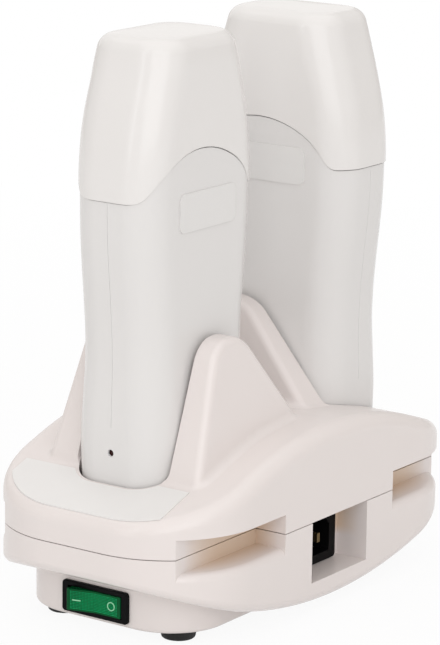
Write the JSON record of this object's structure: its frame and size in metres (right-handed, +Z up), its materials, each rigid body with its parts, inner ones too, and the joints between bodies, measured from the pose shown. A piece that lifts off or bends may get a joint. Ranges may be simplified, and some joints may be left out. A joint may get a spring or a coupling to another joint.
{
  "type": "double roll-on wax warmer",
  "caption": "Double roll-on wax warmer: capped handheld heaters, turned a quarter turn from each other, stand between fins in an arched base with a rocker switch and a recessed mains inlet",
  "frame": {"origin": "centre of the footprint, on the surface that the four feet stand on", "axes": "+Z up, -Y towards the end with the rocker switch, +X towards the long side with the mains inlet"},
  "size_m": [0.118, 0.219, 0.247],
  "materials": {
    "base_plastic": "moulded, warm cream white, satin gloss",
    "handset_plastic": "moulded, cool grey white, satin gloss",
    "label_film": "thin plain film, bare",
    "rubber_black": "matte moulded rubber",
    "black_plastic": "moulded black",
    "rocker_green": "translucent green",
    "natural_plastic": "moulded, undyed",
    "tray_aluminium": "drawn",
    "contact_brass": "turned",
    "steel": "zinc plated",
    "heater_ceramic": "ceramic in foil",
    "wire_cover": "flexible wire cover",
    "cartridge_plastic": "moulded",
    "wax": "set wax, amber",
    "lamp_glass": "small neon lamp",
    "lens_red": "dark pilot lens"
  },
  "bodies": {
    "base": {"lower_shell": "base_plastic", "upper_shell": "base_plastic", "deck_plate": "label_film", "rubber_feet": "rubber_black", "case_screws": "steel", "switch_housing": "black_plastic", "rocker_pin": "steel", "switch_lamp": "lamp_glass", "switch_terminals": "contact_brass", "inlet_housing": "black_plastic", "inlet_pins": "contact_brass", "terminal_block": "natural_plastic", "block_screws": "steel", "mains_wires": "wire_cover", "switch_wires": "wire_cover", "dock_plate_1": "natural_plastic", "dock_contacts_1": "contact_brass", "dock_screws_1": "steel", "dock_wires_1": "wire_cover", "dock_plate_2": "natural_plastic", "dock_contacts_2": "contact_brass", "dock_screws_2": "steel", "dock_wires_2": "wire_cover"},
    "rocker": {"switch_rocker": "rocker_green"},
    "handset_1": {"handset_front_1": "handset_plastic", "handset_rear_1": "handset_plastic", "handset_plug_1": "natural_plastic", "handset_sleeves_1": "contact_brass", "half_screws_1": "steel", "heater_tray_1": "tray_aluminium", "heater_element_1": "heater_ceramic", "thermostat_1": "black_plastic", "pilot_lens_1": "lens_red", "handset_wires_1": "wire_cover", "label_plate_1": "label_film"},
    "cartridge_1": {"cartridge_body_1": "cartridge_plastic", "cartridge_head_1": "cartridge_plastic", "wax_fill_1": "wax"},
    "roller_1": {"roller_1": "cartridge_plastic"},
    "cap_1": {"cap_1": "handset_plastic"},
    "handset_2": {"handset_front_2": "handset_plastic", "handset_rear_2": "handset_plastic", "handset_plug_2": "natural_plastic", "handset_sleeves_2": "contact_brass", "half_screws_2": "steel", "heater_tray_2": "tray_aluminium", "heater_element_2": "heater_ceramic", "thermostat_2": "black_plastic", "pilot_lens_2": "lens_red", "handset_wires_2": "wire_cover", "label_plate_2": "label_film"},
    "cartridge_2": {"cartridge_body_2": "cartridge_plastic", "cartridge_head_2": "cartridge_plastic", "wax_fill_2": "wax"},
    "roller_2": {"roller_2": "cartridge_plastic"},
    "cap_2": {"cap_2": "handset_plastic"}
  },
  "joints": [
    {"name": "rocker_press", "type": "hinge", "parent": "base", "child": "rocker", "pos_m": [0, -0.0896, 0.0137], "axis": [0, 0, -1], "range_deg": [0, 15]},
    {"name": "handset_lift_1", "type": "slide", "parent": "base", "child": "handset_1", "axis": [0, 0, 1], "range_m": [0, 0.1]},
    {"name": "cartridge_lift_1", "type": "slide", "parent": "handset_1", "child": "cartridge_1", "axis": [0, 0, 1], "range_m": [0, 0.13]},
    {"name": "cap_lift_1", "type": "slide", "parent": "cartridge_1", "child": "cap_1", "axis": [0, 0, 1], "range_m": [0, 0.07]},
    {"name": "roller_spin_1", "type": "hinge", "parent": "cartridge_1", "child": "roller_1", "pos_m": [0, -0.048, 0.22], "axis": [0, 1, 0], "continuous": true},
    {"name": "handset_lift_2", "type": "slide", "parent": "base", "child": "handset_2", "axis": [0, 0, 1], "range_m": [0, 0.1]},
    {"name": "cartridge_lift_2", "type": "slide", "parent": "handset_2", "child": "cartridge_2", "axis": [0, 0, 1], "range_m": [0, 0.13]},
    {"name": "cap_lift_2", "type": "slide", "parent": "cartridge_2", "child": "cap_2", "axis": [0, 0, 1], "range_m": [0, 0.07]},
    {"name": "roller_spin_2", "type": "hinge", "parent": "cartridge_2", "child": "roller_2", "pos_m": [0, 0.048, 0.22], "axis": [1, 0, 0], "continuous": true}
  ]
}
